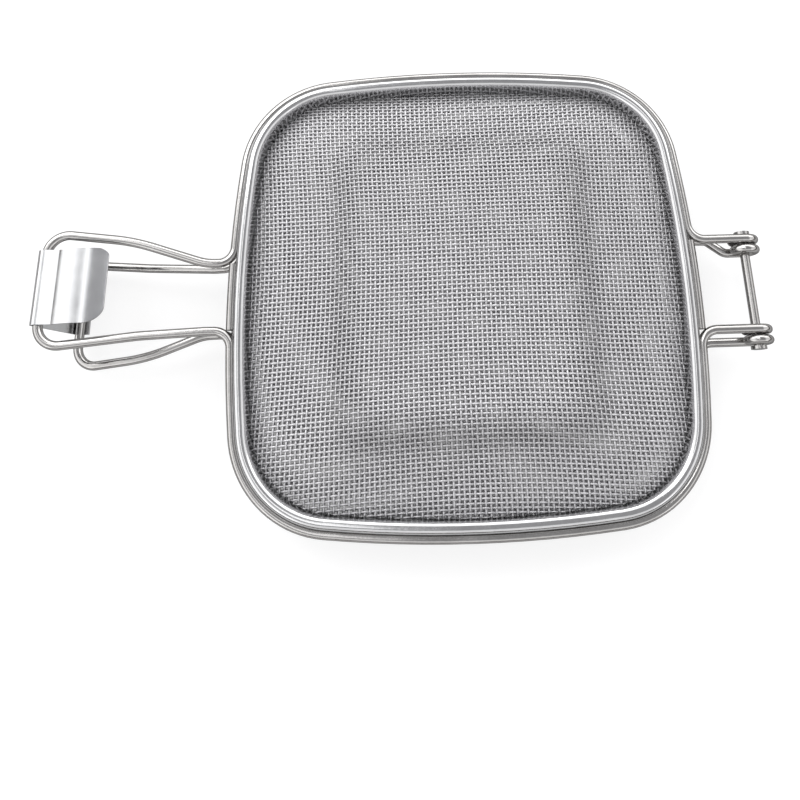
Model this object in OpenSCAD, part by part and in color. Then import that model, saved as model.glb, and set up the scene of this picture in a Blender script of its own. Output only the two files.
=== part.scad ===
// Mesh pie iron: two dished wire-mesh trays in wire frames, hinged at one end
// and held shut at the handle end by a sheet clip.
// The handle points along -X, the hinge is at +X, and +Z is up.
// The origin is the centre of the lower tray's flat, where the iron rests.

/* [Tray] */
// Width and length of one tray over its frame wires
tray_w = 155.5; // [150:0.5:165]
// Radius of the slightly bowed sides, at the outside of the frame wires
side_r = 420; // [360:10:700]
// Radius of the corners, at the outside of the frame wires
corner_r = 34; // [30:0.5:38]
// Depth of one tray, from the parting plane to its flat
tray_h = 14; // [13:0.25:18]
// Length of the flat along the handle
flat_len = 59; // [50:1:62]
// Width of the flat across the handle
flat_wid = 73; // [60:1:76]
// Corner radius of the flat
flat_r = 4; // [3:0.5:6]
// Corner radius at the foot of the raised panel, whose top is the flat
foot_r = 8; // [6:0.5:10]
// Height of the raised panel above the sloping mesh
step_h = 4.5; // [3:0.25:6]
// Run of the panel's rounded border in plan, from its foot to the flat
step_run = 13; // [10:0.5:14]
// How late that border falls away: 2 is evenly round, more is flatter with a steeper foot
step_round = 2.6; // [2:0.1:3.5]
// How early the sloping mesh rises from the hem: 1 is straight, less is more bulged
skirt_round = 0.75; // [0.6:0.05:1]
// Thickness of the woven mesh, two wires deep
mesh_t = 0.8; // [0.6:0.05:1]
// Rounding of the creases in the mesh
crease = 0.4; // [0.2:0.05:0.6]

/* [Rim] */
// Diameter of the rolled top of the rim hem
bead_d = 4; // [3.6:0.1:4.2]
// Height of the rim hem, from the parting plane to the top of its roll
hem_h = 7.4; // [7:0.1:8]
// Width of the rim hem in plan, from its outer wall to its inner toe
hem_w = 3.9; // [3.8:0.1:4.5]
// Height of the hem's inner toe above the mesh
toe_gap = 0.3; // [0.25:0.05:0.4]
// Inset of the roll's axis from the outer wall of the hem
bead_in = 1.65; // [1.55:0.05:1.8]
// Thickness of the hem's sheet
hem_t = 0.6; // [0.4:0.05:0.8]
// Space left at the parting plane below each half
part_gap = 0.15; // [0.1:0.05:0.3]

/* [Wire frame] */
// Diameter of the frame wire
wire_d = 3; // [2.8:0.05:3.1]
// Height of the frame wire's axis off the parting plane, and radius of the hinge eyes
wire_z = 3.5; // [3.4:0.05:3.8]
// Radius of the bends where the wire turns away from the rim
root_r = 5.5; // [5:0.25:7]
// Gap between the frame wire and the hem it is welded to
weld_gap = 0.05; // [0.03:0.01:0.1]

/* [Handle] */
// Distance of the far handle legs from the middle line, where they leave the rim
leg_far = 10; // [9:0.2:12]
// Distance of the near handle legs from the middle line, where they leave the rim
leg_near = 12.4; // [10:0.2:13]
// Reach of the upper handle loop from the tray's edge to its crossbar
upper_reach = 57.5; // [56:0.5:60]
// Reach of the lower handle loop from the tray's edge to its crossbar
lower_reach = 53.1; // [51:0.5:53.5]
// Height of each crossbar's axis off the parting plane
bar_z = 10; // [9:0.25:11]
// Bends of the upper loop's far leg: knee reach, shoulder reach, shoulder y, end y
upper_far_leg = [7.5, 31, 17.5, 20.3]; // [5:0.5:45]
// Bends of the upper loop's near leg
upper_near_leg = [6.5, 27, 13.5, 17]; // [5:0.5:45]
// Bends of the lower loop's far leg
lower_far_leg = [7, 30, 11.6, 14]; // [5:0.5:45]
// Bends of the lower loop's near leg
lower_near_leg = [9.5, 29, 19, 21.4]; // [5:0.5:45]
// Radius of the knee bends, next to the rim
knee_r = 18; // [12:1:18]
// Radius of the gentle shoulder bends
shoulder_r = 60; // [40:5:60]
// Radius of the bends at the crossbar
bar_r = 6.5; // [5:0.25:8]

/* [Hinge] */
// Distance from the tray's edge to the pin's axis
pin_x = 17.5; // [16:0.25:20]
// Diameter of the hinge pin
pin_d = 3; // [2.6:0.1:3.2]
// Place of the upper half's far eye along the pin
upper_eye_far = 13.5; // [12.5:0.1:14]
// Place of the upper half's near eye along the pin
upper_eye_near = -16.6; // [-17:0.1:-15]
// Side gap between two eyes on the pin
eye_gap = 0.4; // [0.3:0.05:0.6]
// Place of the lower half's far hinge arm where it leaves the rim
lower_arm_far = 14.6; // [14:0.1:15.5]
// Distance of that arm's side step from the end of its root bend
step_in = 2.6; // [2:0.1:3]
// Run of the side step for each unit that it moves sideways
step_slope = 1.3; // [1.2:0.05:1.4]
// Bend radius of the side step
step_r = 3.6; // [3.4:0.1:4]
// Turn of the wire round the pin, in degrees
eye_turn = 265; // [240:1:268]
// Diameter of the pin's flattened ends
head_d = 5; // [4.6:0.1:6]
// Thickness of the pin's flattened ends
head_t = 1; // [0.8:0.1:1.5]

/* [Clip] */
// Thickness of the clip's sheet
clip_t = 0.7; // [0.5:0.05:0.8]
// Width of the clip along the crossbar
clip_w = 24; // [20:0.5:25]
// Offset of the clip's middle along the crossbar
clip_y = 2.2; // [1.5:0.1:2.5]
// Clearance between the clip's curls and the crossbars
clip_gap = 0.2; // [0.15:0.05:0.3]
// Length of the thumb plate from the upper crossbar's axis
lip_len = 20.5; // [18:0.25:22]
// Distance from the upper crossbar's axis to the valley of the thumb plate
valley_x = 4.8; // [4.2:0.1:6]
// Drop of the valley below the top of the curl
valley_drop = 0.7; // [0.5:0.1:1.2]
// Rise of the thumb plate's crown above the valley
crown_h = 2; // [1.5:0.1:2.2]
// Corner radius of the thumb plate at its near side
lip_near_r = 6; // [3:0.5:8]
// Corner radius of the thumb plate at its far side
lip_far_r = 3; // [1:0.5:8]
// Length of the hook's tongue under the lower crossbar
tongue = 2; // [1:0.25:3]

/* [Hidden] */

// Colours of the bright wire, the polished sheet and the woven mesh
STEEL = [0.78, 0.78, 0.80];
POLISHED = [0.88, 0.88, 0.90];
MESH = [0.62, 0.62, 0.64];

half_w = tray_w / 2;
wire_r = wire_d / 2;
bead_r = bead_d / 2;

// The outline is four bowed sides and four corners, all true arcs.
side_k = side_r - half_w;
corner_c = (sqrt(2 * pow(side_r - corner_r, 2) - side_k * side_k) - side_k) / 2;
side_a = atan2(corner_c, corner_c + side_k);

// Radius of a side arc at the wire's axis
wire_side_r = side_r - wire_r;

// Insets from the outside of the frame wire
hem_in = wire_d + weld_gap;
bead_u = hem_in + bead_in;
bead_z = hem_h - bead_r;
toe_u = hem_in + hem_w;
flange_in = hem_in + hem_t + 0.1;

// Heights in one half, off the parting plane
flange_top = part_gap + mesh_t;
toe_z = flange_top + toe_gap;
step_z = tray_h - step_h;

// Axis of the pin and of the two crossbars
axis_x = half_w + pin_x;
upper_bar_x = -half_w - upper_reach;
lower_bar_x = -half_w - lower_reach;

// Eyes along the pin: the lower half's lie on the near side of the upper half's.
eye_pitch = wire_d + eye_gap;
lower_eye_far = upper_eye_far - eye_pitch;
lower_eye_near = upper_eye_near - eye_pitch;

// Pieces of one wire or sheet stop short of each other by seam, and a slightly
// larger joint of width seam_w closes over both ends.
seam = 0.02;
seam_grow = 0.01;
seam_w = 0.3;

// Facets of large arcs, corner arcs and round wire
SIDE_FN = 600;
CORNER_FN = 144;
WIRE_FN = 32;

// ---- Outline and sweeps ----

// Angle that an arc of radius r loses to the seam at one end
function seam_a(r) = seam / r * 180 / PI;

// Sweeps a profile of (inset, height) along one side, from angle a0 to a1.
module side_sweep(quarter, a0, a1) {
    lost = seam_a(side_r);
    rotate([0, 0, 90 * quarter])
        translate([-side_k, 0, 0])
            rotate([0, 0, a0 + lost])
                rotate_extrude(angle = a1 - a0 - 2 * lost, $fn = SIDE_FN)
                    translate([side_r, 0])
                        mirror([1, 0])
                            children();
}

// Sweeps a profile of (inset, height) round the corner that follows a side.
module corner_sweep(quarter) {
    lost = seam_a(corner_r);
    rotate([0, 0, 90 * quarter])
        translate([corner_c, corner_c, 0])
            rotate([0, 0, side_a + lost])
                rotate_extrude(angle = 90 - 2 * side_a - 2 * lost, $fn = CORNER_FN)
                    translate([corner_r, 0])
                        mirror([1, 0])
                            children();
}

// Stands a profile of (inset, height) upright as a joint at angle a of a side.
module side_joint(quarter, a) {
    rotate([0, 0, 90 * quarter])
        translate([-side_k, 0, 0])
            rotate([0, 0, a])
                translate([side_r, 0, 0])
                    rotate([90, 0, 0])
                        translate([0, 0, -seam_w / 2])
                            linear_extrude(seam_w)
                                mirror([1, 0])
                                    children();
}

// Section of the frame wire, as a profile of (inset, height)
module wire_section() {
    translate([wire_r, wire_z])
        circle(r = wire_r, $fn = WIRE_FN);
}

// Joint of the frame wire at angle a of a side
module wire_joint(quarter, a) {
    side_joint(quarter, a)
        translate([wire_r, wire_z])
            circle(r = wire_r + seam_grow, $fn = WIRE_FN);
}

// Joint of a bent wire at p, where the wire heads at angle a
module sleeve(p, a) {
    translate([p[0], p[1], 0])
        rotate([0, 0, a])
            rotate([0, 90, 0])
                cylinder(r = wire_r + seam_grow, h = seam_w, center = true, $fn = WIRE_FN);
}

// Part of a flat ring, between two angles less than 180 degrees apart
module arc_strip(r, t, a0, a1) {
    far = 2 * (r + t);
    mid = (a0 + a1) / 2;
    intersection() {
        difference() {
            circle(r = r + t / 2, $fn = 96);
            circle(r = r - t / 2, $fn = 96);
        }
        polygon([
            [0, 0],
            [far * cos(a0), far * sin(a0)],
            [far * cos(mid), far * sin(mid)],
            [far * cos(a1), far * sin(a1)]
        ]);
    }
}

// Straight strip from p to q, thickness t about its middle line
module strip(p, q, t) {
    d = q - p;
    translate(p)
        rotate(atan2(d[1], d[0]))
            translate([0, -t / 2])
                square([norm(d), t]);
}

// ---- Bent wire in a plane ----

// Each route point is [x, y, bend radius]; the ends need no radius.
function at(p) = [p[0], p[1]];
function heading(p, q) = atan2(q[1] - p[1], q[0] - p[0]);
function swing(a, b) = let (d = (b - a) % 360) d > 180 ? d - 360 : d < -180 ? d + 360 : d;
function turn_at(pts, i) = swing(heading(pts[i - 1], pts[i]), heading(pts[i], pts[i + 1]));
function trim_at(pts, i) =
    i == 0 || i == len(pts) - 1 ? 0 : pts[i][2] * tan(abs(turn_at(pts, i)) / 2);

// Straight wire from p to q, with a joint at p
module wire_straight(p, q) {
    d = q - p;
    a = atan2(d[1], d[0]);
    sleeve(p, a);
    translate([p[0], p[1], 0])
        rotate([0, 0, a])
            translate([seam, 0, 0])
                rotate([0, 90, 0])
                    cylinder(r = wire_r, h = norm(d) - 2 * seam, $fn = WIRE_FN);
}

module wire_bend(pts, i) {
    turn = turn_at(pts, i);
    side = sign(turn);
    a = heading(pts[i - 1], pts[i]);
    r = pts[i][2];
    start = at(pts[i]) - trim_at(pts, i) * [cos(a), sin(a)];
    centre = start + side * r * [-sin(a), cos(a)];
    sleeve(start, a);
    translate([centre[0], centre[1], 0])
        rotate([0, 0, (side > 0 ? a - 90 : a + 90 + turn) + seam_a(r)])
            rotate_extrude(angle = abs(turn) - 2 * seam_a(r), $fn = 180)
                translate([r, 0])
                    circle(r = wire_r, $fn = WIRE_FN);
}

module bent_wire(pts) {
    last = len(pts) - 1;
    for (i = [0:last - 1]) {
        a = heading(pts[i], pts[i + 1]);
        dir = [cos(a), sin(a)];
        wire_straight(at(pts[i]) + trim_at(pts, i) * dir, at(pts[i + 1]) - trim_at(pts, i + 1) * dir);
    }
    for (i = [1:last - 1])
        wire_bend(pts, i);
}

// ---- Roots, where the wire turns away from the rim ----

// The root bend touches the side arc from outside and ends along +X at y.
function root_cy(y) = y + root_r;
function root_a(y) = asin(root_cy(y) / (wire_side_r + root_r));
function root_cx(y) = -side_k + (wire_side_r + root_r) * cos(root_a(y));
function root_x(y) = -side_k + wire_side_r * cos(root_a(y));

// Root bend at +X and +Y, lying in the plane z = 0
module root_bend(y) {
    translate([root_cx(y), root_cy(y), 0])
        rotate([0, 0, 180 + root_a(y) + seam_a(root_r)])
            rotate_extrude(angle = 90 - root_a(y) - 2 * seam_a(root_r), $fn = CORNER_FN)
                translate([root_r, 0])
                    circle(r = wire_r, $fn = WIRE_FN);
}

// End of a short bar that runs along the rim between two roots
function bar_end(y) =
    root_cy(y) - sqrt(pow(root_r + wire_r + weld_gap, 2) - pow(root_r - wire_r, 2));

// ---- Woven tray ----

// Points of the outline in one quarter: half a side, the corner, half a side
SIDE_STEPS = 4;
CORNER_STEPS = 8;
QUARTER_STEPS = 2 * SIDE_STEPS + CORNER_STEPS;

// Bowed outline at an inset, point k of the quarter that starts at +X
function rim_quarter(k, inset) =
    k <= SIDE_STEPS
        ? [-side_k + (side_r - inset) * cos(side_a * k / SIDE_STEPS),
           (side_r - inset) * sin(side_a * k / SIDE_STEPS)]
    : k <= SIDE_STEPS + CORNER_STEPS
        ? let (a = side_a + (90 - 2 * side_a) * (k - SIDE_STEPS) / CORNER_STEPS)
          [corner_c + (corner_r - inset) * cos(a), corner_c + (corner_r - inset) * sin(a)]
    : let (m = rim_quarter(QUARTER_STEPS - k, inset)) [m[1], m[0]];

// Rounded rectangle with half sizes hx and hy, point k of the same quarter
function box_quarter(k, hx, hy, r) =
    k <= SIDE_STEPS
        ? [hx, (hy - r) * k / SIDE_STEPS]
    : k <= SIDE_STEPS + CORNER_STEPS
        ? let (a = 90 * (k - SIDE_STEPS) / CORNER_STEPS) [hx - r + r * cos(a), hy - r + r * sin(a)]
    : [(hx - r) * (QUARTER_STEPS - k) / SIDE_STEPS, hy];

function spin(p, quarter) =
    quarter == 0 ? p : quarter == 1 ? [-p[1], p[0]] : quarter == 2 ? [-p[0], -p[1]] : [p[1], -p[0]];

function rim_loop(inset) =
    [for (quarter = [0:3], k = [0:QUARTER_STEPS - 1]) spin(rim_quarter(k, inset), quarter)];

function box_loop(hx, hy, r) = [
    for (quarter = [0:3], k = [0:QUARTER_STEPS - 1])
        quarter % 2 == 0
            ? spin(box_quarter(k, hx, hy, r), quarter)
            : spin(box_quarter(k, hy, hx, r), quarter)
];

// Plan of the mesh at station s: -1 is its edge inside the hem, 0 the hem's toe,
// 1 the foot of the raised panel and 2 the edge of the flat.
function mesh_plan(s) =
    let (out = 2 - max(s, 1), grow = step_run * out)
    let (box = box_loop(flat_len / 2 + grow, flat_wid / 2 + grow, flat_r + (foot_r - flat_r) * out))
    let (rim = rim_loop(s < 0 ? flange_in : toe_u))
    s >= 1 ? box : [for (i = [0:len(rim) - 1]) rim[i] + (box[i] - rim[i]) * max(s, 0)];

function mesh_rise(s) =
    s <= 0 ? flange_top
    : s <= 1 ? flange_top + (step_z - flange_top) * pow(s, skirt_round)
    : tray_h - step_h * pow(2 - s, step_round);

// Stations and how far the crease rounding moves each one up or down
MESH_STATIONS = [
    [-1, 0], [0, 0], [0.07, -0.5], [0.16, 0], [0.3, 0], [0.5, 0], [0.72, 0], [0.93, 0],
    [1, 1], [1.06, 0], [1.14, 0], [1.26, 0], [1.42, 0], [1.62, 0], [1.82, 0], [2, -0.1]
];

module mesh_skirt() {
    stations = [for (m = MESH_STATIONS) m];
    seat = [for (p = box_loop(flat_len / 2 - 1, flat_wid / 2 - 1, flat_r - 1)) p];
    plans = concat([for (m = stations) mesh_plan(m[0])], [seat]);
    tops = concat([for (m = stations) mesh_rise(m[0]) + crease * m[1]], [tray_h - crease / 8]);
    n = 4 * QUARTER_STEPS;
    rows = len(plans);
    upper = [for (r = [0:rows - 1], p = plans[r]) [p[0], p[1], tops[r]]];
    lower = [for (r = [0:rows - 1], p = plans[r]) [p[0], p[1], tops[r] - mesh_t]];
    off = rows * n;
    faces = concat(
        [for (r = [0:rows - 2], i = [0:n - 1])
            [r * n + i, (r + 1) * n + i, (r + 1) * n + (i + 1) % n]],
        [for (r = [0:rows - 2], i = [0:n - 1])
            [r * n + i, (r + 1) * n + (i + 1) % n, r * n + (i + 1) % n]],
        [for (r = [0:rows - 2], i = [0:n - 1])
            [off + r * n + i, off + (r + 1) * n + (i + 1) % n, off + (r + 1) * n + i]],
        [for (r = [0:rows - 2], i = [0:n - 1])
            [off + r * n + i, off + r * n + (i + 1) % n, off + (r + 1) * n + (i + 1) % n]],
        [for (i = [0:n - 1]) [i, (i + 1) % n, off + (i + 1) % n]],
        [for (i = [0:n - 1]) [i, off + (i + 1) % n, off + i]],
        [for (i = [0:n - 1]) let (e = (rows - 1) * n) [e + i, off + e + i, off + e + (i + 1) % n]],
        [for (i = [0:n - 1])
            let (e = (rows - 1) * n) [e + i, off + e + (i + 1) % n, e + (i + 1) % n]]
    );
    polyhedron(points = concat(upper, lower), faces = faces);
}

// The flat in the middle of the tray, a true plane
module mesh_flat() {
    x = flat_len / 2 - 0.5;
    y = flat_wid / 2 - 0.5;
    r = flat_r - 0.5;
    translate([0, 0, tray_h - mesh_t])
        linear_extrude(mesh_t) {
            square([2 * x - 2 * r, 2 * y], center = true);
            square([2 * x, 2 * y - 2 * r], center = true);
            for (sx = [-1, 1], sy = [-1, 1])
                translate([sx * (x - r), sy * (y - r)])
                    circle(r = r, $fn = 48);
        }
}

module mesh_tray() {
    color(MESH) {
        mesh_skirt();
        mesh_flat();
    }
}

// ---- Rim hem: one folded strip with a rolled top, over the mesh's edge ----

// Where the inner wall leaves the roll, as an angle round the roll's axis
toe_v = [toe_u - bead_u, toe_z - bead_z];
wall_a = atan2(toe_v[1], toe_v[0]) + acos(bead_r / norm(toe_v));
// Where the outer wall meets the roll
outer_a = 180 + acos(bead_in / bead_r);

// Section of the hem, grown by g all round
module hem_section(g) {
    mid_r = bead_r - hem_t / 2;
    t = hem_t + 2 * g;
    mid_a = (wall_a + outer_a) / 2;
    out = [cos(wall_a), sin(wall_a)];
    wall_top = mid_r * out;
    along = (toe_v - bead_r * out) / norm(toe_v - bead_r * out);
    outer_top = bead_z - sqrt(bead_r * bead_r - bead_in * bead_in);
    translate([bead_u, bead_z]) {
        arc_strip(mid_r, t, wall_a, mid_a + 5);
        arc_strip(mid_r, t, mid_a - 5, outer_a);
        translate(wall_top)
            circle(d = t + 2 * seam_grow, $fn = WIRE_FN);
        strip(wall_top, toe_v - hem_t / 2 * out + g * along, t);
    }
    translate([hem_in - g, part_gap - g])
        square([t, outer_top - part_gap + t]);
}

module rim_hem() {
    color(POLISHED)
        for (quarter = [0:3]) {
            side_sweep(quarter, -side_a, side_a)
                hem_section(0);
            corner_sweep(quarter)
                hem_section(0);
            side_joint(quarter, side_a)
                hem_section(seam_grow);
            side_joint(quarter, -side_a)
                hem_section(seam_grow);
        }
}

// ---- Frame wires ----

// Far rail: from the hinge eye along the far side of the rim to the handle leg.
// The arm runs from arm_y at the rim to eye_y at the pin.
module rail_far(arm_y, eye_y, leg_y) {
    color(STEEL) {
        wire_joint(0, root_a(arm_y));
        side_sweep(0, root_a(arm_y), side_a)
            wire_section();
        wire_joint(0, side_a);
        corner_sweep(0)
            wire_section();
        wire_joint(1, -side_a);
        side_sweep(1, -side_a, side_a)
            wire_section();
        wire_joint(1, side_a);
        corner_sweep(1)
            wire_section();
        wire_joint(2, -side_a);
        side_sweep(2, -side_a, -root_a(leg_y))
            wire_section();
        translate([0, 0, wire_z]) {
            root_bend(arm_y);
            hinge_arm(arm_y, eye_y);
            sleeve([axis_x, eye_y], 0);
        }
        hinge_eye(eye_y);
    }
}

// Arm in the plane z = 0, with a side step where arm and eye lie apart
module hinge_arm(arm_y, eye_y) {
    x0 = root_cx(arm_y);
    step = abs(arm_y - eye_y);
    x1 = x0 + step_in;
    if (step < 0.01)
        wire_straight([x0, eye_y], [axis_x, eye_y]);
    else
        bent_wire([
            [x0, arm_y],
            [x1, arm_y, step_r],
            [x1 + step * step_slope, eye_y, step_r],
            [axis_x, eye_y]
        ]);
}

// The wire's end rolled round the pin, from the top over the outside
module hinge_eye(eye_y) {
    translate([axis_x, eye_y, 0])
        rotate([90, 0, 0])
            rotate([0, 0, 90 - eye_turn])
                rotate_extrude(angle = eye_turn - seam_a(wire_z), $fn = 96)
                    translate([wire_z, 0])
                        circle(r = wire_r, $fn = WIRE_FN);
}

// Near rail: the far rail's mirror image
module rail_near(arm_y, eye_y, leg_y) {
    mirror([0, 1, 0])
        rail_far(arm_y, eye_y, leg_y);
}

// Short bar along the rim between two roots, at +X
module rim_bar(y_far, y_near) {
    a_far = asin(bar_end(y_far) / wire_side_r);
    a_near = asin(bar_end(y_near) / wire_side_r);
    color(STEEL)
        side_sweep(0, -a_near, a_far)
            wire_section();
}

// Route of one leg from its root to the corner of the crossbar
function leg_route(root_y, leg, bar_x) = [
    [root_cx(root_y), root_y],
    [half_w + leg[0], root_y, knee_r],
    [half_w + leg[1], leg[2], shoulder_r],
    [bar_x, leg[3], bar_r]
];

function other_side(p) = len(p) > 2 ? [p[0], -p[1], p[2]] : [p[0], -p[1]];

// Handle loop: both legs and the crossbar, in a plane that rises to the crossbar
module handle_wire(reach, far_leg, near_leg) {
    x0 = root_x(leg_far);
    tilt = atan((bar_z - wire_z) / (half_w + reach - x0));
    bar_x = x0 + (half_w + reach - x0) / cos(tilt);
    far = leg_route(leg_far, far_leg, bar_x);
    near = leg_route(leg_near, near_leg, bar_x);
    color(STEEL)
        translate([-x0, 0, wire_z])
            rotate([0, tilt, 0])
                translate([x0, 0, 0])
                    mirror([1, 0, 0]) {
                        root_bend(leg_far);
                        mirror([0, 1, 0])
                            root_bend(leg_near);
                        bent_wire(concat(far, [for (i = [3:-1:0]) other_side(near[i])]));
                        sleeve(other_side(near[0]), 0);
                    }
}

// ---- Hinge pin ----

module hinge_pin() {
    far_end = upper_eye_far + wire_r + eye_gap;
    near_end = lower_eye_near - wire_r - eye_gap;
    color(STEEL)
        translate([axis_x, 0, 0])
            rotate([-90, 0, 0]) {
                translate([0, 0, near_end])
                    cylinder(d = pin_d, h = far_end - near_end, $fn = 64);
                translate([0, 0, far_end])
                    cylinder(d = head_d, h = head_t, $fn = 64);
                translate([0, 0, near_end - head_t])
                    cylinder(d = head_d, h = head_t, $fn = 64);
            }
}

// ---- Latch clip ----

// The clip's section lies in X and Z, with the upper crossbar's axis at zero.
curl_r = wire_r + clip_gap + clip_t / 2;
bar_v = [lower_bar_x - upper_bar_x, -2 * bar_z];
bar_a = atan2(bar_v[1], bar_v[0]);
// Angle at which the back plate leaves both curls
back_a = bar_a + 270;
valley = [valley_x, curl_r - valley_drop];
// Angle at which the slope to the valley leaves the upper curl
lead_a = 90 - atan2(valley_drop, valley_x);
lip_end = [lip_len, valley[1]];

// Arc through two level points that rises by h between them
function crown_r(w, h) = (w * w / 4 + h * h) / (2 * h);

module clip_section() {
    back = curl_r * [cos(back_a), sin(back_a)];
    down = [cos(bar_a), sin(bar_a)];
    // Curl over the upper crossbar
    arc_strip(curl_r, clip_t, lead_a, back_a);
    // Slope from the curl to the valley
    lead = curl_r * [cos(lead_a), sin(lead_a)];
    strip(lead, valley, clip_t);
    // Crowned thumb plate
    w = lip_end[0] - valley[0];
    r = crown_r(w, crown_h);
    a = asin(w / 2 / r);
    translate([valley[0] + w / 2, valley[1] + crown_h - r])
        arc_strip(r, clip_t, 90 - a, 90 + a);
    // Back plate, curl and tongue at the lower crossbar
    strip(back, bar_v + back, clip_t);
    translate(bar_v)
        arc_strip(curl_r, clip_t, back_a, bar_a + 360);
    foot = bar_v + curl_r * down;
    strip(foot, foot + tongue * [-sin(bar_a), cos(bar_a)], clip_t);
    // Joints between these
    for (p = [lead, valley, lip_end, back, bar_v + back, foot])
        translate(p)
            circle(d = clip_t + 2 * seam_grow, $fn = WIRE_FN);
}

// Plan of the clip: square at the curl, rounded at the thumb plate's corners
module clip_plan() {
    x0 = -2 * curl_r;
    x1 = lip_len + clip_t / 2;
    y0 = -clip_w / 2;
    y1 = clip_w / 2;
    translate([x0, y0])
        square([x1 - x0 - max(lip_near_r, lip_far_r), clip_w]);
    translate([x0, y0 + lip_near_r])
        square([x1 - x0, clip_w - lip_near_r - lip_far_r]);
    translate([x0, 0])
        square([x1 - x0 - lip_far_r, y1]);
    translate([x1 - lip_near_r, y0 + lip_near_r])
        circle(r = lip_near_r, $fn = 64);
    translate([x1 - lip_far_r, y1 - lip_far_r])
        circle(r = lip_far_r, $fn = 64);
}

module latch_clip() {
    color(POLISHED)
        translate([upper_bar_x, clip_y, bar_z])
            intersection() {
                rotate([90, 0, 0])
                    translate([0, 0, -clip_w / 2])
                        linear_extrude(clip_w)
                            clip_section();
                translate([0, 0, -40])
                    linear_extrude(80)
                        clip_plan();
            }
}

// ---- Placing ----

// The upper half is modelled above the parting plane, the lower half mirrored.
module upper() {
    translate([0, 0, tray_h])
        children();
}

module lower() {
    translate([0, 0, tray_h])
        mirror([0, 0, 1])
            children();
}

lower() mesh_tray();  // lower_mesh_tray
lower() rim_hem();  // lower_rim_hem
lower() rail_far(lower_arm_far, lower_eye_far, leg_far);  // lower_rail_far
lower() rail_near(-lower_eye_near, -lower_eye_near, leg_near);  // lower_rail_near
lower() handle_wire(lower_reach, lower_far_leg, lower_near_leg);  // lower_handle_wire
lower() mirror([1, 0, 0]) rim_bar(leg_far, leg_near);  // lower_handle_bar
lower() rim_bar(lower_arm_far, -lower_eye_near);  // lower_hinge_bar
upper() mesh_tray();  // upper_mesh_tray
upper() rim_hem();  // upper_rim_hem
upper() rail_far(upper_eye_far, upper_eye_far, leg_far);  // upper_rail_far
upper() rail_near(-upper_eye_near, -upper_eye_near, leg_near);  // upper_rail_near
upper() handle_wire(upper_reach, upper_far_leg, upper_near_leg);  // upper_handle_wire
upper() mirror([1, 0, 0]) rim_bar(leg_far, leg_near);  // upper_handle_bar
upper() rim_bar(upper_eye_far, -upper_eye_near);  // upper_hinge_bar
upper() hinge_pin();
upper() latch_clip();
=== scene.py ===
"""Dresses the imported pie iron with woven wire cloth, polished steel and studio light."""

from __future__ import annotations

import logging
import math
from dataclasses import dataclass
from enum import Enum
from typing import Any, Sequence

import bpy
import numpy as np
from mathutils import Matrix, Vector
from mathutils.bvhtree import BVHTree


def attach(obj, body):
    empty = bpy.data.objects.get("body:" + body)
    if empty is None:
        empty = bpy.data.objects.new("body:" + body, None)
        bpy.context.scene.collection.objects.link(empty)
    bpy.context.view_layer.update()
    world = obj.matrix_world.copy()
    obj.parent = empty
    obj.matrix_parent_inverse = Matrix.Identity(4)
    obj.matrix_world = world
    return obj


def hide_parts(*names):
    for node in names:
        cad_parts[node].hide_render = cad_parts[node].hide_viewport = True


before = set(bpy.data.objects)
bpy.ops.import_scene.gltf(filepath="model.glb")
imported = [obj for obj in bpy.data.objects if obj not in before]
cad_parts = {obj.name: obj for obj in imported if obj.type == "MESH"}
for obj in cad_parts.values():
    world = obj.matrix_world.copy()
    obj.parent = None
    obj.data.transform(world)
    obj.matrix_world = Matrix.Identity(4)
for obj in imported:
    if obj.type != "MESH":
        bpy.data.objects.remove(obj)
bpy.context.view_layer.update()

MM = 0.001
LOG = logging.getLogger("pie_iron")


# ---- Shader expressions ----


class Signal:
    """A shader socket that takes part in Python arithmetic."""

    def __init__(self, tree: "ShaderTree", socket: bpy.types.NodeSocket) -> None:
        """Wraps a socket.

        Args:
            tree: The tree that new nodes go into.
            socket: The output socket that carries the value.
        """
        self.tree = tree
        self.socket = socket

    def _math(self, operation: str, *values: Any) -> "Signal":
        """Adds a Math node for one operation on the given values."""
        return self.tree.signal("ShaderNodeMath", 0, {"operation": operation}, dict(enumerate(values)))

    def __add__(self, other: Any) -> "Signal":
        """Sum."""
        return self._math("ADD", self, other)

    def __sub__(self, other: Any) -> "Signal":
        """Difference."""
        return self._math("SUBTRACT", self, other)

    def __rsub__(self, other: Any) -> "Signal":
        """Reflected difference."""
        return self._math("SUBTRACT", other, self)

    def __mul__(self, other: Any) -> "Signal":
        """Product."""
        return self._math("MULTIPLY", self, other)

    def power(self, exponent: float) -> "Signal":
        """Power."""
        return self._math("POWER", self, exponent)

    def clamp(self, low: float, high: float) -> "Signal":
        """Value held between two limits."""
        return self._math("MINIMUM", self._math("MAXIMUM", self, low), high)

    def size(self) -> "Signal":
        """Value without its sign."""
        return self._math("ABSOLUTE", self)

    def rise(self, low: float, high: float) -> "Signal":
        """Smooth step from 0 at the low value to 1 at the high value."""
        return self.tree.signal(
            "ShaderNodeMapRange",
            "Result",
            {"interpolation_type": "SMOOTHSTEP"},
            {"Value": self, "From Min": low, "From Max": high},
        )


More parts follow.
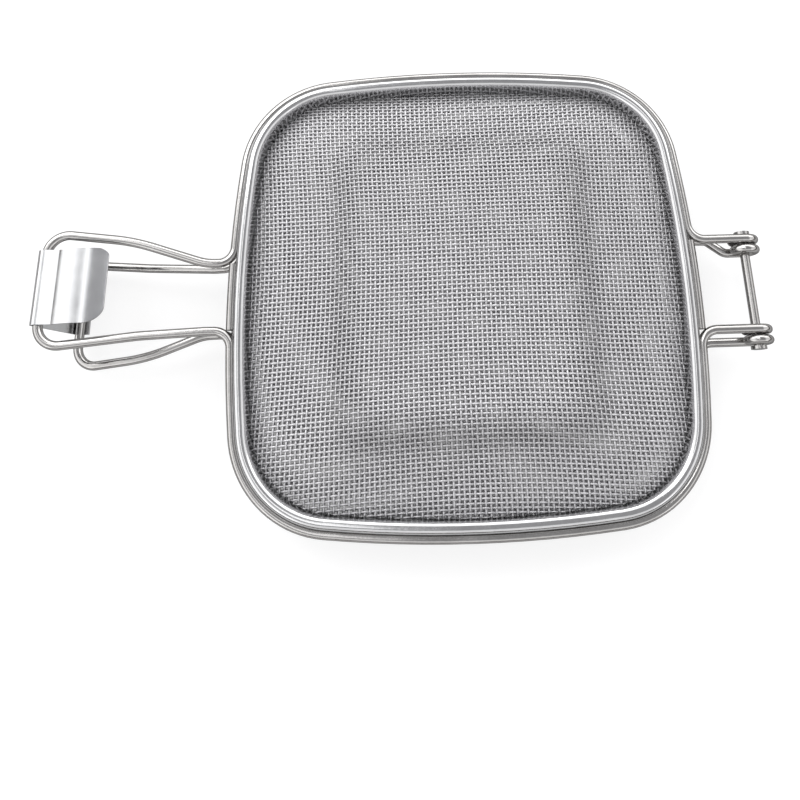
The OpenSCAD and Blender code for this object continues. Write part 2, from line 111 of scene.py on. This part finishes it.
class ShaderTree:
    """The node tree of a new material or world."""

    def __init__(self, owner: Any) -> None:
        """Empties the owner's tree.

        Args:
            owner: A material or a world.
        """
        owner.use_nodes = True
        self.tree = owner.node_tree
        self.tree.nodes.clear()

    def node(
        self,
        kind: str,
        settings: dict[str, Any] | None = None,
        inputs: dict[Any, Any] | None = None,
    ) -> bpy.types.Node:
        """Adds one node.

        Args:
            kind: Blender's type name of the node.
            settings: Attributes of the node.
            inputs: Values, signals or sockets by input name or number.

        Returns:
            The new node.
        """
        node = self.tree.nodes.new(kind)
        for name, value in (settings or {}).items():
            setattr(node, name, value)
        for name, value in (inputs or {}).items():
            if isinstance(value, Signal):
                self.tree.links.new(value.socket, node.inputs[name])
            elif isinstance(value, bpy.types.NodeSocket):
                self.tree.links.new(value, node.inputs[name])
            else:
                node.inputs[name].default_value = value
        return node

    def signal(self, kind: str, output: Any, settings: dict[str, Any], inputs: dict[Any, Any]) -> Signal:
        """Adds a node and returns one of its outputs as a signal."""
        return Signal(self, self.node(kind, settings, inputs).outputs[output])

    def place(self) -> bpy.types.NodeSocket:
        """Object coordinates of the surface."""
        return self.node("ShaderNodeTexCoord").outputs["Object"]

    def axes(self, vector: bpy.types.NodeSocket) -> tuple[Signal, Signal, Signal]:
        """Splits a vector into its X, Y and Z."""
        split = self.node("ShaderNodeSeparateXYZ", {}, {0: vector})
        x, y, z = (Signal(self, socket) for socket in split.outputs)
        return x, y, z

    def outline(self, across: Signal, along: Signal, power: float) -> Signal:
        """Distance from the middle of a rounded square, which is one on its edge.

        Args:
            across: Place along X, in half widths.
            along: Place along Y, in half widths.
            power: Higher values give squarer corners.

        Returns:
            The distance in half widths.
        """
        return (across.size().power(power) + along.size().power(power)).power(1 / power)

    def noise(self, scale: float, detail: float, stretch: tuple[float, float, float] = (1, 1, 1)) -> Signal:
        """Grey noise on object coordinates.

        Args:
            scale: Features per metre.
            detail: Octaves of detail.
            stretch: Factor on each axis.

        Returns:
            Noise between 0 and 1.
        """
        mapping = self.node("ShaderNodeMapping", {}, {"Vector": self.place(), "Scale": stretch})
        return self.signal(
            "ShaderNodeTexNoise",
            "Fac",
            {},
            {"Vector": mapping.outputs[0], "Scale": scale, "Detail": detail},
        )

    def tint(self, factor: Signal, low: Sequence[float], high: Sequence[float]) -> bpy.types.NodeSocket:
        """Blends two colours by a signal."""
        mix = self.node(
            "ShaderNodeMix",
            {"data_type": "RGBA"},
            {0: factor, 6: (*low, 1.0), 7: (*high, 1.0)},
        )
        return mix.outputs[2]


# ---- Finishes ----


PATCH_SHARE = 0.65
PATCH_DETAIL = 3.0
GRAIN_DETAIL = 4.0
FINISH_CONTRAST = 2.2
BUMP_STRENGTH = 0.6
EDGE_TINT = (0.35, 0.35, 0.35, 1.0)


@dataclass(frozen=True)
class PaintedCreaseShade:
    """A painted shade line along the crease where the cloth steps up to its plateau, a rounded rectangle in
    plan.
    """

    half_x: float
    half_y: float
    width: float
    power: float
    depth: float
    colour: tuple[float, float, float]

    def over(self, tree: ShaderTree, colour: bpy.types.NodeSocket) -> bpy.types.NodeSocket:
        """Lays the painted shade line over a colour.

        Args:
            tree: The material's nodes.
            colour: The colour of the surface beside the line.

        Returns:
            The colour with the line.
        """
        x, y, _ = tree.axes(tree.place())
        outline = tree.outline(x * (1 / self.half_x), y * (1 / self.half_y), self.power)
        soft = self.width / self.half_x
        line = outline.rise(1 - soft, 1.0) * (1.0 - outline.rise(1.0, 1 + soft))
        mix = tree.node(
            "ShaderNodeMix",
            {"data_type": "RGBA"},
            {0: line * self.depth, 6: colour, 7: (*self.colour, 1.0)},
        )
        return mix.outputs[2]


@dataclass(frozen=True)
class SteelFinish:
    """A stainless finish, varied over the surface.

    The colour goes from dark to light and the roughness from smooth to rough with the same noise.
    Patch and grain give its features per metre, and bump the depth of the grain.
    """

    name: str
    dark: tuple[float, float, float]
    light: tuple[float, float, float]
    smooth: float
    rough: float
    patch: float
    grain: float
    grain_stretch: tuple[float, float, float]
    bump: float
    # An optional painted shade line along a crease of the formed cloth.
    crease_shade: PaintedCreaseShade | None = None

    def material(self) -> bpy.types.Material:
        """Builds the material.

        Returns:
            The finished material.
        """
        material = bpy.data.materials.new(self.name)
        tree = ShaderTree(material)
        patches = tree.noise(self.patch, PATCH_DETAIL)
        grain = tree.noise(self.grain, GRAIN_DETAIL, self.grain_stretch)
        blend = (patches * PATCH_SHARE + grain * (1 - PATCH_SHARE)).clamp(0.0, 1.0)
        contrast = ((blend - 0.5) * FINISH_CONTRAST + 0.5).clamp(0.0, 1.0)
        colour = tree.tint(contrast, self.dark, self.light)
        # Painted shade: a darker line along the crease, where the cloth is shaded.
        if self.crease_shade:
            colour = self.crease_shade.over(tree, colour)
        roughness = contrast * (self.rough - self.smooth) + self.smooth
        bump = tree.node(
            "ShaderNodeBump",
            {},
            {"Strength": BUMP_STRENGTH, "Distance": self.bump, "Height": grain},
        )
        shader = tree.node(
            "ShaderNodeBsdfPrincipled",
            {},
            {
                "Base Color": colour,
                "Metallic": 1.0,
                "Roughness": roughness,
                "Specular Tint": EDGE_TINT,
                "Normal": bump.outputs[0],
            },
        )
        output = tree.node("ShaderNodeOutputMaterial")
        tree.tree.links.new(shader.outputs[0], output.inputs["Surface"])
        return material


BRIGHT_WIRE = SteelFinish(
    name="bright_drawn_wire",
    dark=(0.42, 0.41, 0.40),
    light=(0.56, 0.55, 0.54),
    smooth=0.10,
    rough=0.20,
    patch=90.0,
    grain=1400.0,
    grain_stretch=(1.0, 1.0, 1.0),
    bump=0.00002,
)
POLISHED_HEM = SteelFinish(
    name="polished_hem_strip",
    dark=(0.56, 0.56, 0.565),
    light=(0.70, 0.70, 0.705),
    smooth=0.08,
    rough=0.18,
    patch=70.0,
    grain=900.0,
    grain_stretch=(1.0, 1.0, 6.0),
    bump=0.00001,
)
CLIP_SHEET = SteelFinish(
    name="clip_spring_sheet",
    dark=(0.66, 0.665, 0.675),
    light=(0.80, 0.805, 0.815),
    smooth=0.14,
    rough=0.26,
    patch=120.0,
    grain=500.0,
    grain_stretch=(12.0, 1.0, 12.0),
    bump=0.00001,
)
WOVEN_WIRE = SteelFinish(
    name="woven_wire_cloth",
    dark=(0.58, 0.575, 0.585),
    light=(0.70, 0.695, 0.71),
    smooth=0.46,
    rough=0.60,
    patch=400.0,
    grain=1100.0,
    grain_stretch=(1.0, 1.0, 1.0),
    bump=0.00002,
    # A painted shade line along the plateau's crease, darkening the cloth where it steps down.
    crease_shade=PaintedCreaseShade(
        half_x=38.0 * MM,
        half_y=47.0 * MM,
        width=8.0 * MM,
        power=7.0,
        depth=0.17,
        colour=(0.22, 0.22, 0.225),
    ),
)


# ---- Modelling helpers ----


def deselect_all() -> None:
    """Leaves every object deselected."""
    if bpy.context.object and bpy.context.object.mode != "OBJECT":
        bpy.ops.object.mode_set(mode="OBJECT")
    bpy.ops.object.select_all(action="DESELECT")


def take(piece: bpy.types.Object) -> None:
    """Makes one object the only selected and active one."""
    deselect_all()
    piece.select_set(True)
    bpy.context.view_layer.objects.active = piece


def positions(piece: bpy.types.Object) -> np.ndarray:
    """Vertex positions of a mesh, one row each."""
    flat = np.empty(len(piece.data.vertices) * 3)
    piece.data.vertices.foreach_get("co", flat)
    return flat.reshape(-1, 3)


def set_positions(piece: bpy.types.Object, points: np.ndarray) -> None:
    """Writes vertex positions back to a mesh."""
    piece.data.vertices.foreach_set("co", points.ravel())
    piece.data.update()


def dress(piece: bpy.types.Object, material: bpy.types.Material) -> None:
    """Gives an object one material on all its faces."""
    if piece.material_slots:
        for material_slot in piece.material_slots:
            material_slot.material = material
    else:
        piece.data.materials.append(material)


# ---- Woven trays ----


class Half(Enum):
    """The two halves of the iron."""

    UPPER = "upper"
    LOWER = "lower"


class Run(Enum):
    """The two directions of wire in the cloth."""

    WARP = "warp"
    WEFT = "weft"


@dataclass
class FormedCloth:
    """Pressed surface of the upper tray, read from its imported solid."""

    node: str
    cloth_t: float = 1.28 * MM
    step: float = 0.5 * MM
    reach: float = 78 * MM
    parting_z: float = 14 * MM
    start_z: float = 100 * MM

    def heights(self) -> np.ndarray:
        """Height of the cloth's middle above the parting plane on a square grid.

        Returns:
            A grid of heights, with the first index along X.
        """
        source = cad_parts[self.node]
        tree = BVHTree.FromPolygons(
            [vertex.co.copy() for vertex in source.data.vertices],
            [list(polygon.vertices) for polygon in source.data.polygons],
        )
        count = int(round(2 * self.reach / self.step)) + 1
        places = np.linspace(-self.reach, self.reach, count)
        grid = np.full((count, count), np.nan)
        down = Vector((0, 0, -1))
        for i, x in enumerate(places):
            for j, y in enumerate(places):
                hit = tree.ray_cast(Vector((x, y, self.start_z)), down)
                if hit[0] is not None:
                    grid[i, j] = hit[0].z - self.parting_z
        flange = np.nanmin(grid)
        return np.where(np.isnan(grid), flange, grid) - self.cloth_t / 2

    def sample(self, grid: np.ndarray, x: np.ndarray, y: np.ndarray) -> np.ndarray:
        """Heights at plan positions, by straight interpolation.

        Args:
            grid: The grid of heights.
            x: Plan positions along the handle.
            y: Plan positions across the handle.

        Returns:
            The height at each position.
        """
        just_inside = grid.shape[0] - 1 - 1e-3
        u = np.clip((x + self.reach) / self.step, 0, just_inside)
        v = np.clip((y + self.reach) / self.step, 0, just_inside)
        i, j = u.astype(int), v.astype(int)
        fu, fv = u - i, v - j
        near = grid[i, j] * (1 - fu) + grid[i + 1, j] * fu
        far = grid[i, j + 1] * (1 - fu) + grid[i + 1, j + 1] * fu
        return near * (1 - fv) + far * fv


@dataclass
class WovenTray:
    """Plain-woven wire cloth of one half, formed to the tray's shape.

    Each wire is a tube with a few sides, cut into short steps between its crossings. The cloth ends
    edge_in inside the tray's outline, whose sides are arcs of side_r and whose corners are arcs of
    corner_r about corner_c. The spread widens the weave towards its corners. The drift wanders over
    drift_wave, is whole in the middle and dies out beyond calm_edge.
    """

    half: Half
    grid: np.ndarray
    form: FormedCloth
    pitch_x: float = 1.5 * MM
    pitch_y: float = 1.42 * MM
    wire: float = 0.7 * MM
    crimp: float = 0.29 * MM
    sides: int = 6
    cuts: int = 3
    side_r: float = 420 * MM
    half_w: float = 77.75 * MM
    corner_r: float = 34 * MM
    corner_c: float = 41.5087 * MM
    edge_in: float = 4.0 * MM
    twist_deg: float = 0.0
    spread: float = 0.09
    drift: float = 0.35 * MM
    drift_wave: float = 95 * MM
    drift_ripples: tuple[float, float] = (1.7, 2.1)
    drift_phases: tuple[float, float, float] = (0.6, 1.1, -0.4)
    drift_cap: float = 1.15
    calm_edge: float = 72 * MM
    weld: float = 0.001 * MM

    @property
    def side_k(self) -> float:
        """Distance from the middle to the centre of a side's arc."""
        return self.side_r - self.half_w

    def inside(self, x: np.ndarray, y: np.ndarray) -> np.ndarray:
        """Tells which plan positions lie within the cloth's edge.

        Args:
            x: Plan positions along the handle.
            y: Plan positions across the handle.

        Returns:
            A truth value for each position.
        """
        reach = self.side_r - self.edge_in
        ax, ay = np.abs(x), np.abs(y)
        keep = (np.hypot(ax + self.side_k, ay) < reach) & (np.hypot(ax, ay + self.side_k) < reach)
        at_corner = (ax > self.corner_c) & (ay > self.corner_c)
        near = np.hypot(ax - self.corner_c, ay - self.corner_c) < self.corner_r - self.edge_in
        return keep & (near | ~at_corner)

    def _one_length(self, along: float) -> bpy.types.Object:
        """Models one length of straight wire along X, two pitches long, in short steps.

        Args:
            along: Distance from one crossing wire to the next.

        Returns:
            The open length of wire.
        """
        deselect_all()
        bpy.ops.mesh.primitive_cylinder_add(
            vertices=self.sides,
            radius=self.wire / 2,
            depth=2 * along,
            end_fill_type="NOTHING",
            location=(0, 0, 0),
            rotation=(0, math.pi / 2, 0),
        )
        wave = bpy.context.object
        bpy.ops.object.transform_apply(location=True, rotation=True, scale=True)
        bpy.ops.object.mode_set(mode="EDIT")
        bpy.ops.mesh.select_mode(type="EDGE")
        bpy.ops.mesh.select_all(action="DESELECT")
        bpy.ops.object.mode_set(mode="OBJECT")
        mesh = wave.data
        for edge in mesh.edges:
            a, b = (mesh.vertices[index].co for index in edge.vertices)
            edge.select = abs(a.x - b.x) > along
        bpy.ops.object.mode_set(mode="EDIT")
        bpy.ops.mesh.subdivide(number_cuts=self.cuts)
        bpy.ops.object.mode_set(mode="OBJECT")
        return wave

    def _repeat(self, piece: bpy.types.Object, axis: int, step: float, count: int) -> None:
        """Repeats a piece along one axis with an applied Array modifier.

        Args:
            piece: The piece to repeat.
            axis: 0 for X, where the lengths are welded end to end, or 1 for Y.
            step: Distance from one copy to the next.
            count: How many copies there are.
        """
        take(piece)
        array = piece.modifiers.new("repeat", "ARRAY")
        array.use_relative_offset = False
        array.use_constant_offset = True
        offset = [0.0, 0.0, 0.0]
        offset[axis] = step
        array.constant_offset_displace = offset
        array.count = count
        array.use_merge_vertices = axis == 0
        array.merge_threshold = self.weld
        bpy.ops.object.modifier_apply(modifier=array.name)

    def wires(self, run: Run, first: int, count: int) -> bpy.types.Object:
        """Models neighbouring wires of one run.

        Args:
            run: Warp wires lie along X, weft wires along Y.
            first: Number of the first wire, counted from the middle.
            count: How many wires there are.

        Returns:
            The crimped wires of a flat cloth as one object.
        """
        along, apart = (self.pitch_x, self.pitch_y) if run is Run.WARP else (self.pitch_y, self.pitch_x)
        wave = self._one_length(along)
        waves = int(math.ceil(2 * self.form.reach / (2 * along)))
        waves += waves % 2
        points = positions(wave)
        points[:, 0] -= (waves - 1) * along
        set_positions(wave, points)
        self._repeat(wave, 0, 2 * along, waves)
        self._repeat(wave, 1, apart, count)
        points = positions(wave)
        number = np.round(points[:, 1] / apart).astype(int) + first
        points[:, 1] += first * apart
        crest = self.crimp * np.cos(math.pi * points[:, 0] / along)
        sign = 1 if run is Run.WARP else -1
        points[:, 2] += crest * np.where(number % 2 == 0, sign, -sign)
        if run is Run.WEFT:
            points = np.stack([-points[:, 1], points[:, 0], points[:, 2]], axis=1)
        set_positions(wave, points)
        return wave

    def _trim(self, piece: bpy.types.Object) -> None:
        """Cuts the wires at the cloth's edge and closes their ends."""
        points = positions(piece)
        outside = ~self.inside(points[:, 0], points[:, 1])
        take(piece)
        bpy.ops.object.mode_set(mode="EDIT")
        bpy.ops.mesh.select_mode(type="VERT")
        bpy.ops.mesh.select_all(action="DESELECT")
        bpy.ops.object.mode_set(mode="OBJECT")
        piece.data.vertices.foreach_set("select", outside)
        bpy.ops.object.mode_set(mode="EDIT")
        bpy.ops.mesh.delete(type="VERT")
        bpy.ops.mesh.select_all(action="SELECT")
        bpy.ops.mesh.fill_holes(sides=self.sides)
        bpy.ops.mesh.select_all(action="DESELECT")
        bpy.ops.object.mode_set(mode="OBJECT")

    def _shift(self, x: np.ndarray, y: np.ndarray) -> tuple[np.ndarray, np.ndarray]:
        """Slight uneven drift of the weave, which dies out at the rim.

        Args:
            x: Plan positions along the handle.
            y: Plan positions across the handle.

        Returns:
            The drift along X and along Y.
        """
        outward = np.maximum(np.abs(x), np.abs(y)) / self.calm_edge
        size = self.drift * np.clip(self.drift_cap - outward**4, 0, 1)
        wave = 2 * math.pi / self.drift_wave
        first, second, third = self.drift_phases
        ripple_x, ripple_y = (ripple * wave for ripple in self.drift_ripples)
        shift_x = np.sin(wave * y + first) + 0.5 * np.sin(ripple_x * x + second)
        shift_y = np.cos(wave * x + third) + 0.5 * np.sin(ripple_y * y)
        return size * shift_x, size * shift_y

    def _press(self, piece: bpy.types.Object) -> None:
        """Presses the flat cloth into the tray's form."""
        points = positions(piece)
        shift_x, shift_y = self._shift(points[:, 0], points[:, 1])
        points[:, 0] += shift_x
        points[:, 1] += shift_y
        points[:, 2] += self.form.sample(self.grid, points[:, 0], points[:, 1])
        if self.half is Half.LOWER:
            points[:, 2] = -points[:, 2]
        points[:, 2] += self.form.parting_z
        set_positions(piece, points)
        if self.half is Half.LOWER:
            piece.data.flip_normals()

    def _twist(self, piece: bpy.types.Object) -> None:
        """Turns the flat cloth slightly, as it was laid in the press, and spreads it to its corners."""
        turn = math.radians(self.twist_deg)
        points = positions(piece)
        x, y = points[:, 0].copy(), points[:, 1].copy()
        across = x * math.cos(turn) - y * math.sin(turn)
        along = x * math.sin(turn) + y * math.cos(turn)
        points[:, 0] = across * (1 + self.spread * (along / self.form.reach) ** 2)
        points[:, 1] = along * (1 + self.spread * (across / self.form.reach) ** 2)
        set_positions(piece, points)

    def build(self, material: bpy.types.Material) -> list[bpy.types.Object]:
        """Builds the cloth of this half as four sets of wires.

        Args:
            material: The finish of the woven wire.

        Returns:
            The new pieces.
        """
        count = int(math.ceil(self.form.reach / self.pitch_y))
        made = []
        for run in Run:
            for side, first in (("a", 0), ("b", -count)):
                piece = self.wires(run, first, count)
                piece.name = f"{self.half.value}_cloth_{run.value}_{side}"
                self._twist(piece)
                self._trim(piece)
                self._press(piece)
                take(piece)
                bpy.ops.object.shade_smooth()
                dress(piece, material)
                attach(piece, f"{self.half.value}_half")
                made.append(piece)
        for piece in made:
            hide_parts(f"{self.half.value}_mesh_tray")
        faces = sum(len(piece.data.polygons) for piece in made)
        LOG.info("%s cloth: %d pieces, %d faces", self.half.value, len(made), faces)
        return made


# ---- Studio ----


WHITE = (1.0, 1.0, 1.0, 1.0)


@dataclass(frozen=True)
class SoftPanel:
    """A soft light panel, given by the directions that it fills.

    The panel lies towards one axis, with its soft edge between two cosines, at most up to a height
    unless its top is open.
    """

    toward: tuple[float, float]
    edge: tuple[float, float]
    strength: float
    top_open: bool = False

    def light(self, x: Signal, y: Signal, below_top: Signal) -> Signal:
        """Strength of the panel in each direction.

        Args:
            x: X of the direction.
            y: Y of the direction.
            below_top: One below the panels' top edge and zero above it.

        Returns:
            The strength.
        """
        lit = (x * self.toward[0] + y * self.toward[1]).rise(*self.edge) * self.strength
        return lit if self.top_open else lit * below_top


HANDLE_PANEL = SoftPanel(toward=(-1.0, 0.0), edge=(0.28, 0.72), strength=1.2, top_open=True)
FAR_PANEL = SoftPanel(toward=(0.0, 1.0), edge=(0.3, 0.45), strength=1.55)
FAR_LOW_PANEL = SoftPanel(toward=(0.0, 1.0), edge=(0.74, 0.88), strength=1.3, top_open=True)
HINGE_PANEL = SoftPanel(toward=(1.0, 0.0), edge=(0.5, 0.62), strength=0.8)
NEAR_PANEL = SoftPanel(toward=(0.0, -1.0), edge=(0.5, 0.62), strength=0.65)


@dataclass
class Studio:
    """Floor, world, lamps and the camera.

    Lengths are in metres apart from the eye's, which are in millimetres. Edges of light are cosines.
    """

    eye: tuple[float, float, float] = (-9.31, -49.93, 267.97)
    yaw_deg: float = 1.73
    elevation_deg: float = 71.9
    focal_px: float = 771.0
    centre_px: tuple[float, float] = (440.6, 194.8)
    image_px: float = 800.0
    sensor_mm: float = 36.0
    clip: tuple[float, float] = (0.01, 20.0)
    floor_size: float = 6.0
    floor_z: float = -0.2 * MM
    floor_grey: float = 0.36
    floor_glow: float = 0.47
    # The shade_ and mirrored_shade values lay a painted shadow: the floor's glow is lowered under the
    # resting tray.
    shade_glow: float = 0.22
    mirrored_glow: float = 0.14
    mirrored_shade: float = 0.10
    shade_edge: tuple[float, float] = (73 * MM, 78.5 * MM)
    shade_far: float = 3 * MM
    shade_power: float = 5.0
    shade_scale: float = 10.0
    ceiling_edge: tuple[float, float] = (0.16, 0.42)
    wall_colour: tuple[float, float, float] = (0.09, 0.078, 0.07)
    ceiling_colour: tuple[float, float, float] = (0.41, 0.41, 0.42)
    panel_foot: tuple[float, float] = (0.20, 0.27)
    panel_top: tuple[float, float] = (0.74, 0.86)
    box_near_side: tuple[float, float] = (0.05, 0.12)
    box_far_side: tuple[float, float] = (0.22, 0.29)
    box_height: tuple[float, float] = (0.90, 0.94)
    box_strength: float = 1.3
    key_energy: float = 0.4
    key_angle_deg: float = 18.0
    key_direction: tuple[float, float, float] = (0.35, -0.55, -1.0)

    def camera(self) -> None:
        """Places the camera as the picture was taken."""
        data = bpy.data.cameras.new("camera")
        camera = bpy.data.objects.new("camera", data)
        bpy.context.scene.collection.objects.link(camera)
        el = math.radians(self.elevation_deg)
        turn = Matrix.Rotation(-math.radians(self.yaw_deg), 3, "Z")
        right = turn @ Vector((1, 0, 0))
        up = turn @ Vector((0, math.sin(el), math.cos(el)))
        back = turn @ Vector((0, -math.cos(el), math.sin(el)))
        pose = Matrix((right, up, back)).transposed().to_4x4()
        pose.translation = Vector(self.eye) * MM
        camera.matrix_world = pose
        data.sensor_width = self.sensor_mm
        data.lens = self.sensor_mm * self.focal_px / self.image_px
        data.shift_x = 0.5 - self.centre_px[0] / self.image_px
        data.shift_y = self.centre_px[1] / self.image_px - 0.5
        data.clip_start, data.clip_end = self.clip
        bpy.context.scene.camera = camera

    def floor(self) -> None:
        """Lays a plain white floor that keeps a soft shadow, with a painted shadow that dims its glow under
        the resting tray.
        """
        deselect_all()
        bpy.ops.mesh.primitive_plane_add(size=self.floor_size, location=(0, 0, self.floor_z))
        floor = bpy.context.object
        floor.name = "floor"
        material = bpy.data.materials.new("white_floor")
        tree = ShaderTree(material)
        path = tree.node("ShaderNodeLightPath")
        seen = Signal(tree, path.outputs["Is Camera Ray"])
        mirrored = (
            Signal(tree, path.outputs["Is Glossy Ray"]) + Signal(tree, path.outputs["Is Transmission Ray"])
        ).clamp(0.0, 1.0)
        # Painted shadow: the glow seen directly and in reflections is lowered inside the resting tray's
        # footprint.
        x, y, _ = tree.axes(tree.place())
        across = x * self.shade_scale
        along = (y - self.shade_far) * self.shade_scale
        outline = tree.outline(across, along, self.shade_power)
        open_floor = outline.rise(*(limit * self.shade_scale for limit in self.shade_edge))
        grey = (self.floor_grey, self.floor_grey, self.floor_grey, 1.0)
        diffuse = tree.node("ShaderNodeBsdfDiffuse", {}, {"Color": grey})
        direct = open_floor * self.floor_glow + self.shade_glow
        reflected = open_floor * self.mirrored_glow + self.mirrored_shade
        strength = seen * direct + mirrored * reflected
        glow = tree.node("ShaderNodeEmission", {}, {"Color": WHITE, "Strength": strength})
        both = tree.node("ShaderNodeAddShader", {}, {0: diffuse.outputs[0], 1: glow.outputs[0]})
        output = tree.node("ShaderNodeOutputMaterial")
        tree.tree.links.new(both.outputs[0], output.inputs["Surface"])
        dress(floor, material)

    def world(self) -> None:
        """Surrounds the iron with soft light panels, a softbox overhead and a grey ceiling."""
        world = bpy.data.worlds.new("studio")
        bpy.context.scene.world = world
        tree = ShaderTree(world)
        path = tree.node("ShaderNodeLightPath")
        camera = Signal(tree, path.outputs["Is Camera Ray"])
        direction = tree.node("ShaderNodeTexCoord").outputs["Generated"]
        x, y, z = tree.axes(direction)
        ceiling = tree.tint(z.rise(*self.ceiling_edge), self.wall_colour, self.ceiling_colour)
        room = tree.node("ShaderNodeBackground", {}, {"Color": ceiling, "Strength": 1.0})
        below_top = 1.0 - z.rise(*self.panel_top)
        to_handle = x * -1.0
        light = (
            to_handle.rise(*self.box_near_side)
            * (1.0 - to_handle.rise(*self.box_far_side))
            * z.rise(*self.box_height)
            * self.box_strength
        )
        for panel in (HANDLE_PANEL, FAR_PANEL, FAR_LOW_PANEL, HINGE_PANEL, NEAR_PANEL):
            light = light + panel.light(x, y, below_top)
        strength = z.rise(*self.panel_foot) * light
        soft = tree.node("ShaderNodeBackground", {}, {"Color": WHITE, "Strength": strength})
        lit = tree.node("ShaderNodeAddShader", {}, {0: room.outputs[0], 1: soft.outputs[0]})
        white = tree.node("ShaderNodeBackground", {}, {"Color": WHITE, "Strength": 1.0})
        mix = tree.node("ShaderNodeMixShader", {}, {0: camera, 1: lit.outputs[0], 2: white.outputs[0]})
        output = tree.node("ShaderNodeOutputWorld")
        tree.tree.links.new(mix.outputs[0], output.inputs["Surface"])

    def key(self) -> None:
        """Adds one soft key lamp from above the far handle side."""
        data = bpy.data.lights.new("key", "SUN")
        data.energy = self.key_energy
        data.angle = math.radians(self.key_angle_deg)
        lamp = bpy.data.objects.new("key", data)
        bpy.context.scene.collection.objects.link(lamp)
        lamp.rotation_euler = Vector(self.key_direction).to_track_quat("-Z", "Y").to_euler()

    def build(self) -> None:
        """Builds the whole studio."""
        bpy.context.scene.view_settings.view_transform = "Standard"
        self.camera()
        self.floor()
        self.world()
        self.key()
        LOG.info("studio: camera, floor, panels and key lamp")


# ---- The iron ----


@dataclass
class PieIron:
    """All pieces of the iron and their finishes."""

    weave_twist: tuple[float, float] = (0.5, -1.2)

    def cloth(self) -> None:
        """Weaves both trays."""
        form = FormedCloth("upper_mesh_tray")
        grid = form.heights()
        material = WOVEN_WIRE.material()
        for half, twist in zip(Half, self.weave_twist):
            WovenTray(half, grid, form, twist_deg=twist).build(material)

    def metalwork(self) -> None:
        """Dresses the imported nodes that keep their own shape."""
        wire, hem, clip = BRIGHT_WIRE.material(), POLISHED_HEM.material(), CLIP_SHEET.material()
        for name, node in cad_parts.items():
            if name.endswith("rim_hem"):
                dress(node, hem)
            elif name == "latch_clip":
                dress(node, clip)
            elif not name.endswith("mesh_tray"):
                dress(node, wire)
            LOG.info("%s: dressed", name)

    def build(self) -> None:
        """Builds every piece in order."""
        self.cloth()
        self.metalwork()


def main() -> None:
    """Builds the scene."""
    logging.basicConfig(level=logging.INFO, format="%(name)s: %(message)s")
    Studio().build()
    PieIron().build()


if __name__ == "__main__":
    main()
